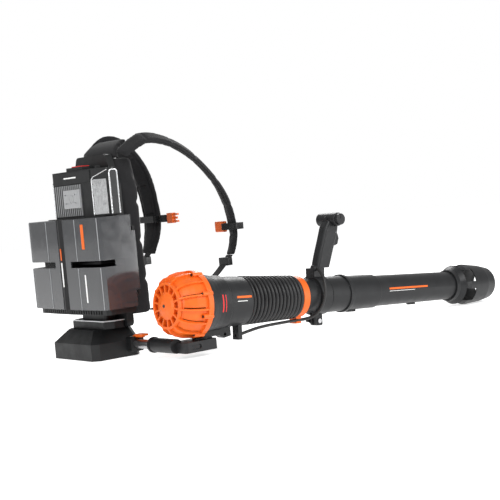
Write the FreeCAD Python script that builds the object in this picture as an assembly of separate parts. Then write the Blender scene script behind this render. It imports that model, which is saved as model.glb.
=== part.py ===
"""Cordless backpack leaf blower, modelled as an assembly of separate pieces.

Frame: +X is the wearer's right, +Y is the way the wearer faces, +Z is up.
The origin is the middle of the flat foot that the pack stands on. All sizes are in millimetres.
"""
import FreeCAD, Part
import math
import os

V = FreeCAD.Vector

# ---------------------------------------------------------------- driving dimensions
FOOT_HALF_WIDTH = 109.0
FOOT_FRONT = -116.0
FOOT_BACK = 26.0
FOOT_WALL_HEIGHT = 42.0
FOOT_HEIGHT = 74.0
PAD_HEIGHT = 2.0

TRAY_HALF_WIDTH = 78.0
TRAY_FRONT = -64.0
TRAY_TOP = 92.0

FRAME_HALF_WIDTH = 104.0
FRAME_FRONT = -8.0
FRAME_BACK = 12.0
FRAME_TOP = 520.0

CAMP_BOTTOM = 131.0
CAMP_TOP = 361.0
CAMP_HALF_WIDTH = 182.0
CAMP_CORNER_FRONT = -113.0
CAMP_CREASE_X = 74.0
CAMP_CREASE_FRONT = -118.0
CAMP_REAR = -20.0
CAMP_SLOT_HEIGHT = 16.0
SPINE_HALF_WIDTH = 15.0
COVER_WALL = 3.0
HINGE_X = 176.0
HINGE_Y = -14.0

BATTERY_WIDTH = 122.0
BATTERY_DEPTH = 72.0
BATTERY_HEIGHT = 96.0
BATTERY_FRONT = -94.0

CONTROL_HALF_WIDTH = 124.0
CONTROL_FRONT_HALF = 98.0
CONTROL_FRONT = -70.0
CONTROL_BEVEL_Y = -35.0
CONTROL_BOTTOM = 363.5
CONTROL_TOP = 484.0

TUBE_Z = 31.0
TUBE_RADIUS = 12.0
TUBE_END = 300.0
SOCKET_END = 130.0
ARM_RADIUS = 18.0
ARM_START = 208.0

BLOWER_X = 310.0
BLOWER_REF_Y = 50.0
BLOWER_REF_Z = 128.0
BLOWER_PITCH = 4.0
SWIVEL_Y = 70.0
SWIVEL_Z = 40.3

CAGE_FRONT = -24.0
CAGE_RING_RADIUS = 57.0
CAGE_FLANGE_RADIUS = 83.0
CAGE_FLANGE_START = 46.0
CAGE_RIBS = 14
HOUSING_START = 60.0
HOUSING_STEP = 128.0
HOUSING_END = 198.0
HOUSING_RADIUS = 78.0
HOUSING_WALL = 3.5
HOUSING_OUTLINE = [(HOUSING_RADIUS, HOUSING_START), (76.5, 70), (72.5, 82), (69.5, 94), (68.0, 108),
                   (67.5, HOUSING_STEP), (64.5, HOUSING_STEP + 3), (63.4, 150), (62.6, 180), (61.6, HOUSING_END)]
BELLOWS_START = 198.3
BELLOWS_MIDDLE = 285.0
BELLOWS_END = 371.0
BELLOWS_RIDGES = 7
CUFF_END = 478.0
SLEEVE_END = 656.0
FRONT_PIPE_END = 984.0
NOZZLE_END = 1129.0
PIPE_RADIUS = 46.0
PIPE_WALL = 3.0

HANDLE_Y = 455.0
HEAD_Y = 518.0
HEAD_Z = 200.0
HEAD_RADIUS = 18.0
CABLE_RADIUS = 4.0

FOOT_WALL = 4.0
TRIM_HEIGHT = 3.0
LEVER_X = 120.0
LEVER_Z = 48.5
SLOT_INNER_X = 40.0
MOTOR_RADIUS = 30.0
FAN_RADIUS = 62.4
BELLOWS_CREST_REAR = 63.0
BELLOWS_CREST_FRONT = 57.0
BELLOWS_ROOT = 51.0
NOZZLE_RADIUS = 60.5
NOZZLE_WINDOWS = 6
CAGE_SCREW_ANGLES = (20.0, 65.0, 115.0, 160.0, 200.0, 245.0, 295.0, 340.0)
CLAMP_BOLT_Z = -68.0
HEAD_LEFT = -40.0
HEAD_RIGHT = 33.0
TRIGGER_Y = 524.0
TRIGGER_Z = 165.0
CABLE_REAR = [(10, 180, -86), (12, 222, -76), (15, 256, -69), (15.5, 288.6, -66.2)]
CABLE_FRONT = [(15.5, 289.4, -66.1), (16, 325, -63.5), (10, 382, -61), (14, 404, -60), (36, 420, -52),
               (56, 430, -28), (59.4, 432.9, -10.4)]
CABLE_HANDLE = [(59.6, 433.1, -9.6), (63, 436, 8), (54, 442, 42), (34, 444, 64), (17, 448, 74)]
HINGE_LOW = 172.0
HINGE_HIGH = 320.0

CONTROL_REAR_FACE = FRAME_FRONT - 0.3
SINK_LEFT = -92.0
SINK_RIGHT = 46.0
SINK_FACE = -74.0
SINK_BACK = -48.0
SINK_BOTTOM = 368.0
SINK_TOP = 448.0
BUTTON_HALF = 20.0

BACK_PAD_HALF = 108.0
BACK_PAD_DEPTH = 62.0
STRAP_X = 92.0
STRAP_PAD_HALF = 28.0
STRAP_PAD_THICKNESS = 13.0
LEFT_PAD_HALF = 33.0
LEFT_PAD_THICKNESS = 20.0
STRAP_PAD_POINTS = 11
STRAP_BANK = (26.0, 34.0, 36.0, 35.0, 33.0, 29.0, 24.0, 20.0, 16.0, 11.0, 6.0)
WEB_HALF = 15.0
CHEST_LEFT = (228.0, 338.0)
CHEST_RIGHT = (366.0, 300.0)
STRAP_RIGHT = [(27, 515), (78, 550), (120, 556), (175, 544), (232, 515), (284, 470), (328, 418), (356, 362),
               (368, 306), (366, 262), (346, 222), (308, 182), (248, 146), (178, 122), (112, 112), (76, 108)]
STRAP_LEFT = [(27, 515), (66, 548), (104, 556), (142, 540), (174, 508), (200, 470), (216, 426), (224, 380),
              (228, 334), (220, 288), (202, 244), (174, 204), (140, 168), (108, 138), (86, 120), (76, 108)]
RUN_CLEARANCE = 0.08


# ---------------------------------------------------------------- shape helpers
def block(x0, x1, y0, y1, z0, z1):
    return Part.makeBox(x1 - x0, y1 - y0, z1 - z0, V(x0, y0, z0))


def rod(start, direction, radius, length):
    return Part.makeCylinder(radius, length, V(*start), V(*direction))


def ring(start, direction, outer, inner, length):
    return rod(start, direction, outer, length).cut(rod(start, direction, inner, length))


def turned(outline):
    """Revolve an outline of (radius, along) points about the Y axis."""
    points = [V(radius, along, 0) for radius, along in outline]
    face = Part.Face(Part.makePolygon(points + points[:1]))
    return face.revolve(V(0, 0, 0), V(0, 1, 0), 360)


def plate_z(outline, z0, z1):
    """Extrude an outline of (x, y) points between two heights."""
    points = [V(x, y, z0) for x, y in outline]
    return Part.Face(Part.makePolygon(points + points[:1])).extrude(V(0, 0, z1 - z0))


def plate_x(outline, x0, x1):
    """Extrude an outline of (y, z) points between two sideways places."""
    points = [V(x0, y, z) for y, z in outline]
    return Part.Face(Part.makePolygon(points + points[:1])).extrude(V(x1 - x0, 0, 0))


def join(shapes):
    result = shapes[0]
    for shape in shapes[1:]:
        result = result.fuse(shape)
    return result.removeSplitter()


def group(shapes):
    return Part.makeCompound(shapes)


def mirrored(shape):
    return shape.mirror(V(0, 0, 0), V(1, 0, 0))


def round_edges(shape, radius, wanted):
    """Fillet the edges that a test picks, and leave the shape as it was if that fails."""
    edges = [edge for edge in shape.Edges if wanted(edge)]
    try:
        rounded = shape.makeFillet(radius, edges)
    except Exception:
        return shape
    return rounded if rounded.isValid() else shape


def runs_along(axis):
    def test(edge):
        if not isinstance(edge.Curve, (Part.Line, Part.LineSegment)):
            return False
        step = edge.Vertexes[-1].Point - edge.Vertexes[0].Point
        return abs(abs(step[axis]) - step.Length) < 1e-6
    return test


def strip_outline(route, thickness):
    """The outline of a flat strip of even thickness about a route of (y, z) points."""
    sides = [[], []]
    for index, (y, z) in enumerate(route):
        before = route[max(index - 1, 0)]
        after = route[min(index + 1, len(route) - 1)]
        length = math.hypot(after[0] - before[0], after[1] - before[1])
        across = (-(after[1] - before[1]) / length, (after[0] - before[0]) / length)
        for side, sign in zip(sides, (0.5, -0.5)):
            side.append((y + sign * thickness * across[0], z + sign * thickness * across[1]))
    return sides[0] + sides[1][::-1]


def banked_strap(route, x0, side, half, thickness):
    """A padded strap about a route of (y, z) points, its outer edge turned down like a shoulder."""
    sections = []
    for index, (y, z) in enumerate(route):
        before = route[max(index - 1, 0)]
        after = route[min(index + 1, len(route) - 1)]
        length = math.hypot(after[0] - before[0], after[1] - before[1])
        outward = V(0, -(after[1] - before[1]) / length, (after[0] - before[0]) / length)
        bank = math.radians(STRAP_BANK[index])
        wide = V(side * math.cos(bank), 0, 0) - outward * math.sin(bank)
        deep = outward * math.cos(bank) + V(side * math.sin(bank), 0, 0)
        wide = wide * half
        deep = deep * (thickness / 2)
        middle = V(x0, y, z)
        corners = [middle + wide + deep, middle - wide + deep, middle - wide - deep, middle + wide - deep]
        sections.append(Part.makePolygon(corners + corners[:1]))
    return Part.makeLoft(sections, True, True)


def cord_path(points):
    """Straight runs joined by tangent arcs, each as large as its two runs allow."""
    corners = [V(*point) for point in points]
    edges = []
    last = corners[0]
    for before, corner, after in zip(corners, corners[1:], corners[2:]):
        into = corner - before
        out = after - corner
        half_turn = into.getAngle(out) / 2
        reach = 0.45 * min(into.Length, out.Length)
        radius = reach / math.tan(half_turn)
        print(f"cord arc radius {radius:.0f}")
        into.normalize()
        out.normalize()
        start = corner - into * reach
        end = corner + out * reach
        bisector = out - into
        bisector.normalize()
        centre = corner + bisector * (radius / math.cos(half_turn))
        middle = centre - bisector * radius
        edges.append(Part.LineSegment(last, start).toShape())
        edges.append(Part.Arc(start, middle, end).toShape())
        last = end
    edges.append(Part.LineSegment(last, corners[-1]).toShape())
    return Part.Wire(edges)


def cord(points, radius):
    path = cord_path(points)
    first = V(*points[0])
    direction = V(*points[1]) - first
    section = Part.Wire(Part.makeCircle(radius, first, direction))
    tube = path.makePipeShell([section], True, False)
    print(f"cord volume ratio {tube.Volume / (math.pi * radius ** 2 * path.Length):.3f}")
    return tube


def on_blower(shape):
    """Move a shape from the blower's own straight axis, along Y, to its place on the arm."""
    placed = shape.copy()
    placed.translate(V(BLOWER_X, 0, BLOWER_REF_Z))
    placed.rotate(V(BLOWER_X, BLOWER_REF_Y, BLOWER_REF_Z), V(1, 0, 0), -BLOWER_PITCH)
    return placed


def spun(shape, count, first=0.0):
    """Copies of a shape turned evenly about the Y axis."""
    copies = []
    for index in range(count):
        copy = shape.copy()
        copy.rotate(V(0, 0, 0), V(0, 1, 0), first + 360.0 * index / count)
        copies.append(copy)
    return copies


def save(name, shape):
    bad = [solid for solid in shape.Solids if not solid.isValid()]
    if bad or not shape.Solids:
        print("check", name, len(shape.Solids), "solids", len(bad), "invalid")
    shape.exportStep(f"parts/{name}.step")


# ---------------------------------------------------------------- foot and frame
def foot_layer(inset, z, shrink=0.0):
    half = FOOT_HALF_WIDTH - inset - shrink
    front = FOOT_FRONT + inset + shrink
    back = FOOT_BACK - inset * 0.1 - shrink
    corner = 16.0
    points = [V(-half + corner, front, z), V(half - corner, front, z), V(half, front + corner, z),
              V(half, back - corner, z), V(half - corner, back, z), V(-half + corner, back, z),
              V(-half, back - corner, z), V(-half, front + corner, z)]
    return Part.makePolygon(points + points[:1])


def foot_body(shrink):
    lower = Part.makeLoft([foot_layer(0, 0, shrink),
                           foot_layer(0, FOOT_WALL_HEIGHT - shrink / 2, shrink)], True, True)
    upper = Part.makeLoft([foot_layer(0, FOOT_WALL_HEIGHT - shrink / 2, shrink),
                           foot_layer(30, FOOT_HEIGHT - shrink, shrink)], True, True)
    return lower.fuse(upper).removeSplitter()


def foot_sheet(shrink, z0, z1):
    return Part.makeLoft([foot_layer(0, z0, shrink), foot_layer(0, z1, shrink)], True, True)


def socket_block():
    shape = block(60, SOCKET_END, -19, 19, TUBE_Z - 19, TUBE_Z + 19)
    return round_edges(shape, 7.0, runs_along(0))


def make_foot():
    shell = foot_body(0).cut(foot_body(FOOT_WALL)).cut(socket_block())
    save("foot_shell", shell)
    pads = [rod((side * 84, y, 0), (0, 0, 1), 10, PAD_HEIGHT) for side in (-1, 1) for y in (-94, 4)]
    save("foot_pads", group(pads))
    save("foot_floor", foot_sheet(FOOT_WALL + 0.1, 0, FOOT_WALL).cut(group(pads)))


def tray_outline(shrink, back):
    half = TRAY_HALF_WIDTH - shrink
    return [(-half, TRAY_FRONT + shrink), (half, TRAY_FRONT + shrink),
            (half + 14, TRAY_FRONT + 24 + shrink), (half + 14, back),
            (-half - 14, back), (-half - 14, TRAY_FRONT + 24 + shrink)]


def make_tray():
    back = FRAME_FRONT - 0.3
    tray = round_edges(plate_z(tray_outline(0, back), FOOT_HEIGHT, TRAY_TOP), 5.0, runs_along(2))
    post = block(-60, 60, TRAY_FRONT + 18, back, TRAY_TOP - 1, CAMP_BOTTOM - 14)
    save("frame_tray", tray.fuse(round_edges(post, 8.0, runs_along(2))).removeSplitter())
    trim = plate_z(tray_outline(1.0, back), TRAY_TOP, TRAY_TOP + TRIM_HEIGHT)
    hollow = plate_z(tray_outline(6.0, back + 1), TRAY_TOP, TRAY_TOP + TRIM_HEIGHT)
    save("tray_trim", trim.cut(hollow))


def make_back_frame():
    half = FRAME_HALF_WIDTH
    outline = [(-half, FOOT_HEIGHT), (half, FOOT_HEIGHT), (half, 440), (72, FRAME_TOP),
               (-72, FRAME_TOP), (-half, 440)]
    points = [V(x, FRAME_FRONT, z) for x, z in outline]
    frame = Part.Face(Part.makePolygon(points + points[:1])).extrude(V(0, FRAME_BACK - FRAME_FRONT, 0))
    frame = round_edges(frame, 14.0, runs_along(1))
    for row in range(3):
        for side in (-1, 1):
            low = 400 + row * 26
            frame = frame.cut(block(side * 45 - 25, side * 45 + 25, FRAME_FRONT - 1, FRAME_BACK + 1,
                                    low, low + 10))
    save("back_frame", frame)


# ---------------------------------------------------------------- socket, tube and release lever
def make_tube_mount():
    socket = socket_block().cut(rod((50, 0, TUBE_Z), (1, 0, 0), TUBE_RADIUS + RUN_CLEARANCE, 100))
    pocket = block(LEVER_X - 8, SOCKET_END + 1, -5.4, 5.4, TUBE_Z + TUBE_RADIUS, LEVER_Z + 20)
    save("tube_socket", socket.cut(pocket).cut(rod((LEVER_X, -15, LEVER_Z), (0, 1, 0), 2.0, 30)))
    tube = ring((62, 0, TUBE_Z), (1, 0, 0), TUBE_RADIUS, TUBE_RADIUS - 2, TUBE_END - 62)
    save("steel_tube", tube)
    hub = rod((LEVER_X, -5, LEVER_Z), (0, 1, 0), 4.2, 10)
    tongue = block(LEVER_X, LEVER_X + 40, -5, 5, LEVER_Z, LEVER_Z + 4.2)
    tab = block(LEVER_X + 14, LEVER_X + 48, -12, 12, LEVER_Z + 3.4, LEVER_Z + 8.4)
    lever = join([hub, tongue, round_edges(tab, 5.0, runs_along(2))])
    save("release_lever", lever.cut(rod((LEVER_X, -15, LEVER_Z), (0, 1, 0), 2.02, 30)))


# ---------------------------------------------------------------- battery camp
def camp_outline(shrink, inner_x):
    """Right half of the camp seen from above, from the spine round to the rear edge."""
    half = CAMP_HALF_WIDTH - shrink
    return [(inner_x, CAMP_CREASE_FRONT - 1.5 + shrink), (CAMP_CREASE_X, CAMP_CREASE_FRONT + shrink),
            (half - 8, CAMP_CORNER_FRONT + shrink), (half, CAMP_CORNER_FRONT + 9 + shrink),
            (half, CAMP_REAR), (inner_x, CAMP_REAR)]


def make_cover(side):
    """One see-through cover: front, side, top and bottom walls in one shell, open at the rear."""
    inner_x = SPINE_HALF_WIDTH + 0.4
    shell = plate_z(camp_outline(0, inner_x), CAMP_BOTTOM, CAMP_TOP)
    shell = round_edges(shell, 6.0, runs_along(0))
    hollow = plate_z(camp_outline(COVER_WALL, inner_x - 5), CAMP_BOTTOM + COVER_WALL,
                     CAMP_TOP - COVER_WALL)
    hollow = hollow.fuse(block(inner_x - 1, CAMP_HALF_WIDTH - COVER_WALL, CAMP_REAR - 5, CAMP_REAR + 5,
                               CAMP_BOTTOM + COVER_WALL, CAMP_TOP - COVER_WALL))
    shell = shell.cut(hollow)
    middle = (CAMP_BOTTOM + CAMP_TOP) / 2
    slot = block(SLOT_INNER_X, CAMP_HALF_WIDTH + 5, CAMP_CREASE_FRONT - 8, CAMP_CORNER_FRONT + 40,
                 middle - CAMP_SLOT_HEIGHT / 2, middle + CAMP_SLOT_HEIGHT / 2)
    shell = shell.cut(slot)
    ear = block(HINGE_X - 5, CAMP_HALF_WIDTH, CAMP_REAR - 3, HINGE_Y + 4.5, HINGE_LOW, HINGE_HIGH)
    ear = ear.cut(block(HINGE_X - 6, CAMP_HALF_WIDTH - COVER_WALL, CAMP_REAR - 4, HINGE_Y - 4.9,
                        HINGE_LOW - 1, HINGE_HIGH + 1))
    shell = shell.fuse(ear)
    shell = shell.cut(rod((HINGE_X, HINGE_Y, HINGE_LOW - 1), (0, 0, 1), 2.05, HINGE_HIGH - HINGE_LOW + 2))
    shell = shell.removeSplitter()
    name = "cover_right" if side > 0 else "cover_left"
    save(name, shell if side > 0 else mirrored(shell))


def make_camp():
    wall_back = FRAME_FRONT - 0.3
    wall = block(-CAMP_HALF_WIDTH + 14, CAMP_HALF_WIDTH - 14, -15.7, wall_back, CAMP_BOTTOM, CAMP_TOP)
    web = block(-SPINE_HALF_WIDTH, SPINE_HALF_WIDTH, -112, -15.7, CAMP_BOTTOM, CAMP_TOP)
    shelf_z = (CAMP_BOTTOM + CAMP_TOP) / 2
    shelf = block(-CAMP_HALF_WIDTH + 50, CAMP_HALF_WIDTH - 50, -86, -15.7, shelf_z - 3, shelf_z + 3)
    roof = plate_z([(-96, -96), (96, -96), (110, -86), (110, wall_back), (-110, wall_back), (-110, -86)],
                   CAMP_TOP + 0.4, CONTROL_BOTTOM)
    wall_lift = block(-100, 100, -15.7, wall_back, CAMP_TOP - 1, CAMP_TOP + 1)
    body = [wall, web, shelf, wall_lift, roof]
    for side in (-1, 1):
        for low, high in ((HINGE_LOW - 12, HINGE_LOW - 0.4), (HINGE_HIGH + 0.4, HINGE_HIGH + 12)):
            knuckle = block(HINGE_X - 12, HINGE_X + 4.5, HINGE_Y - 1.7, HINGE_Y + 5, low, high)
            body.append(knuckle if side > 0 else mirrored(knuckle))
    camp = join(body)
    for side in (-1, 1):
        camp = camp.cut(rod((side * HINGE_X, HINGE_Y, HINGE_LOW - 20), (0, 0, 1), 2.0,
                            HINGE_HIGH - HINGE_LOW + 40))
    save("camp_body", camp)
    pins = [rod((side * HINGE_X, HINGE_Y, HINGE_LOW - 11), (0, 0, 1), 2.0, HINGE_HIGH - HINGE_LOW + 22)
            for side in (-1, 1)]
    pins.append(rod((LEVER_X, -14, LEVER_Z), (0, 1, 0), 2.0, 28))
    save("hinge_pins", group(pins))
    spine = plate_z([(-SPINE_HALF_WIDTH, -112), (-SPINE_HALF_WIDTH, -118.5), (0, -122.5),
                     (SPINE_HALF_WIDTH, -118.5), (SPINE_HALF_WIDTH, -112)], CAMP_BOTTOM, CAMP_TOP)
    save("camp_spine", spine)


def make_grille():
    outline = camp_outline(10, 0)
    right = plate_z(outline, CAMP_BOTTOM - 14, CAMP_BOTTOM - 0.4)
    grille = right.fuse(mirrored(right)).removeSplitter()
    grille = grille.cut(plate_z([(-140, -96), (140, -96), (140, -30), (-140, -30)],
                                CAMP_BOTTOM - 10, CAMP_BOTTOM + 1))
    ribs = 26
    for index in range(ribs):
        x = (index - (ribs - 1) / 2) * 11.5
        grille = grille.cut(block(x - 2.5, x + 2.5, -125, -100, CAMP_BOTTOM - 12, CAMP_BOTTOM - 2.5))
    save("camp_grille", grille)


def make_batteries():
    """Two removable packs, one above the other, behind each cover."""
    middle = (CAMP_BOTTOM + CAMP_TOP) / 2
    x0 = SPINE_HALF_WIDTH + 4
    back = BATTERY_FRONT + BATTERY_DEPTH
    packs = []
    contacts = []
    for low in (CAMP_BOTTOM + 8, middle + 9):
        pack = block(x0, x0 + BATTERY_WIDTH, BATTERY_FRONT, back, low, low + BATTERY_HEIGHT)
        pack = round_edges(pack, 7.0, runs_along(2))
        rail = block(x0 + 16, x0 + BATTERY_WIDTH - 16, back - 1, -15.7, low + 12, low + BATTERY_HEIGHT - 12)
        contact = block(x0 + 24, x0 + 44, -19, -15.7, low + 30, low + 60)
        latch = block(x0 + 40, x0 + 82, BATTERY_FRONT - 1, BATTERY_FRONT + 2, low + 70, low + 86)
        packs.append(pack.fuse(rail).cut(latch).cut(contact).removeSplitter())
        contacts.append(contact)
    save("batteries_right", group(packs))
    save("batteries_left", group([mirrored(pack) for pack in packs]))
    save("battery_contacts", group(contacts + [mirrored(contact) for contact in contacts]))


# ---------------------------------------------------------------- controller on top of the camp
def control_outline(shrink):
    side = CONTROL_HALF_WIDTH - shrink
    front = CONTROL_FRONT_HALF - shrink
    return [(-front, CONTROL_FRONT + shrink), (front, CONTROL_FRONT + shrink),
            (side, CONTROL_BEVEL_Y + shrink), (side, CONTROL_REAR_FACE - shrink),
            (-side, CONTROL_REAR_FACE - shrink), (-side, CONTROL_BEVEL_Y + shrink)]


def make_controller():
    outer = plate_z(control_outline(0), CONTROL_BOTTOM, CONTROL_TOP)
    outer = round_edges(outer, 5.0, lambda e: e.BoundBox.ZMin > CONTROL_TOP - 1 and e.BoundBox.YMin > -60)
    sink_bay = block(SINK_LEFT - 0.2, SINK_RIGHT + 0.2, CONTROL_FRONT - 1, SINK_BACK + 0.2,
                     SINK_BOTTOM - 0.2, SINK_TOP + 0.2)
    hollow = plate_z(control_outline(4), CONTROL_BOTTOM + 4, CONTROL_TOP - 4)
    bay_wall = block(SINK_LEFT - 4, SINK_RIGHT + 4, CONTROL_FRONT, SINK_BACK + 4,
                     SINK_BOTTOM - 4, SINK_TOP + 4)
    case = outer.cut(hollow).fuse(bay_wall.common(outer)).cut(sink_bay)
    windows = []
    panels = []
    for side in (-1, 1):
        window = plate_z([(CONTROL_FRONT_HALF + 3, CONTROL_FRONT + 1), (CONTROL_HALF_WIDTH - 3, CONTROL_BEVEL_Y - 6),
                          (CONTROL_HALF_WIDTH - 6, CONTROL_BEVEL_Y - 3.8), (CONTROL_FRONT_HALF, CONTROL_FRONT + 3)],
                         CONTROL_BOTTOM + 4, CONTROL_TOP - 28)
        bezel = block(CONTROL_HALF_WIDTH, CONTROL_HALF_WIDTH + 1.6, CONTROL_BEVEL_Y + 4, CONTROL_REAR_FACE - 4,
                      CONTROL_BOTTOM + 3, CONTROL_TOP - 8)
        if side < 0:
            window = mirrored(window)
            bezel = mirrored(bezel)
        windows.append(window)
        panels.append(bezel)
    for window in windows:
        case = case.cut(window)
    button_hole = block(-BUTTON_HALF - 0.3, BUTTON_HALF + 0.3, -56.3, -23.7, CONTROL_TOP - 5, CONTROL_TOP + 1)
    case = case.cut(button_hole)
    save("corner_windows", group(windows))
    save("side_panels", group(panels))
    hump = block(-40, 40, -62, -16, CONTROL_TOP, CONTROL_TOP + 9)
    hump = round_edges(hump, 5.0, runs_along(2))
    hump = hump.cut(block(-BUTTON_HALF - 0.3, BUTTON_HALF + 0.3, -56.3, -23.7, CONTROL_TOP - 1, CONTROL_TOP + 10))
    cap = rod((66, -30, CONTROL_TOP - 1), (0, 0, 1), 9, 9)
    plate = block(-CONTROL_FRONT_HALF + 6, CONTROL_FRONT_HALF - 4, CONTROL_FRONT - 2.5, CONTROL_FRONT + 1,
                  SINK_TOP + 4, CONTROL_TOP - 3)
    case = join([case, hump, cap, round_edges(plate, 2.0, runs_along(1))])
    save("controller_case", case)
    button = block(-BUTTON_HALF, BUTTON_HALF, -56, -24, CONTROL_TOP + 1, CONTROL_TOP + 12)
    save("power_button", round_edges(button, 3.0, runs_along(2)))
    save("control_board", block(-86, 86, -20, -18, CONTROL_BOTTOM + 12, CONTROL_TOP - 14))


def make_heat_sink():
    body = block(SINK_LEFT, SINK_RIGHT, SINK_FACE + 8, SINK_BACK, SINK_BOTTOM, SINK_TOP)
    fins = [body]
    count = 15
    for index in range(count):
        x = SINK_LEFT + 1.5 + index * (SINK_RIGHT - SINK_LEFT - 3) / (count - 1)
        fins.append(block(x - 1.5, x + 1.5, SINK_FACE, SINK_FACE + 9, SINK_BOTTOM, SINK_TOP))
    sink = join(fins)
    seat = block(-42, 42, SINK_FACE - 1, SINK_FACE + 5.2, SINK_BOTTOM + 20, SINK_TOP - 12)
    save("heat_sink", sink.cut(seat))
    plate = block(-41.8, 41.8, SINK_FACE - 1.5, SINK_FACE + 5.2, SINK_BOTTOM + 20.2, SINK_TOP - 12.2)
    for side in (-1, 1):
        for z in (SINK_BOTTOM + 32, SINK_TOP - 26):
            plate = plate.cut(block(side * 24 - 10, side * 24 + 10, SINK_FACE - 2, SINK_FACE + 2, z, z + 3.5))
    groove = ring((0, SINK_FACE - 2, (SINK_BOTTOM + SINK_TOP) / 2 + 4), (0, 1, 0), 11, 9.6, 1.6)
    save("heat_sink_plate", plate.cut(groove))


# ---------------------------------------------------------------- soft harness, kept plain
def make_harness():
    half = BACK_PAD_HALF
    outline = [(-half, 96), (half, 96), (half + 6, 180), (half, 430), (76, 516), (-76, 516),
               (-half, 430), (-half - 6, 180)]
    points = [V(x, FRAME_BACK + 0.3, z) for x, z in outline]
    pad = Part.Face(Part.makePolygon(points + points[:1])).extrude(V(0, BACK_PAD_DEPTH, 0))
    yoke = strip_outline([(FRAME_BACK + 9, 513), (28, 530), (44, 545), (66, 553)], 12)
    back = join([pad, plate_x(yoke, -60, 60)])
    save("back_pad", back)
    locks = []
    for name, side, route, half, thickness in (
            ("right", 1, STRAP_RIGHT, STRAP_PAD_HALF, STRAP_PAD_THICKNESS),
            ("left", -1, STRAP_LEFT, LEFT_PAD_HALF, LEFT_PAD_THICKNESS)):
        pad_route = route[:STRAP_PAD_POINTS]
        web_route = route[STRAP_PAD_POINTS - 1:]
        x0 = side * STRAP_X
        pad = banked_strap(pad_route, x0, side, half, thickness).cut(back)
        web = plate_x(strip_outline(web_route, 3.0), x0 - WEB_HALF, x0 + WEB_HALF)
        web = web.cut(pad).cut(back)
        save(f"strap_pad_{name}", pad)
        low, along = web_route[0], web_route[1]
        drop = 22 / math.hypot(along[0] - low[0], along[1] - low[1])
        lock_y = low[0] + (along[0] - low[0]) * drop
        lock_z = low[1] + (along[1] - low[1]) * drop
        lock = block(x0 - 20, x0 + 20, lock_y - 8, lock_y + 8, lock_z - 11, lock_z + 11)
        lock = round_edges(lock, 3.0, runs_along(1)).cut(web).cut(pad)
        y, z = CHEST_RIGHT if side > 0 else CHEST_LEFT
        slider = block(x0 - half - 5, x0 + half + 5, y - thickness / 2 - 10, y + thickness / 2 + 8, z - 9, z + 9)
        slider = round_edges(slider, 5.0, runs_along(2)).cut(pad)
        locks += [lock, slider]
        chest = chest_webbing(side).cut(pad).cut(slider)
        save(f"strap_webbing_{name}", group([web, chest]))
    save("ladder_locks", group(locks))
    left_y, left_z = CHEST_LEFT
    prong = join([block(-12, 14, left_y - 6, left_y + 6, left_z - 14, left_z + 14),
                  block(14, 34, left_y - 3, left_y + 3, left_z + 7, left_z + 12),
                  block(14, 34, left_y - 3, left_y + 3, left_z - 12, left_z - 7),
                  block(14, 30, left_y - 2, left_y + 2, left_z - 3, left_z + 3)])
    right_y, right_z = CHEST_RIGHT
    body = block(20, 56, right_y - 7, right_y + 7, right_z - 15, right_z + 15)
    body = round_edges(body, 4.0, runs_along(0))
    mouth = block(19, 46, right_y - 3.6, right_y + 3.6, right_z - 12.5, right_z + 12.5)
    save("chest_buckle", group([prong, body.cut(mouth)]))


def chest_webbing(side):
    """The short chest strap between a shoulder strap and its half of the buckle."""
    y, z = CHEST_RIGHT if side > 0 else CHEST_LEFT
    x0, x1 = (56, STRAP_X - WEB_HALF) if side > 0 else (-STRAP_X + WEB_HALF, -12)
    return block(x0, x1, y - 1.5, y + 1.5, z - 10, z + 10)


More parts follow.
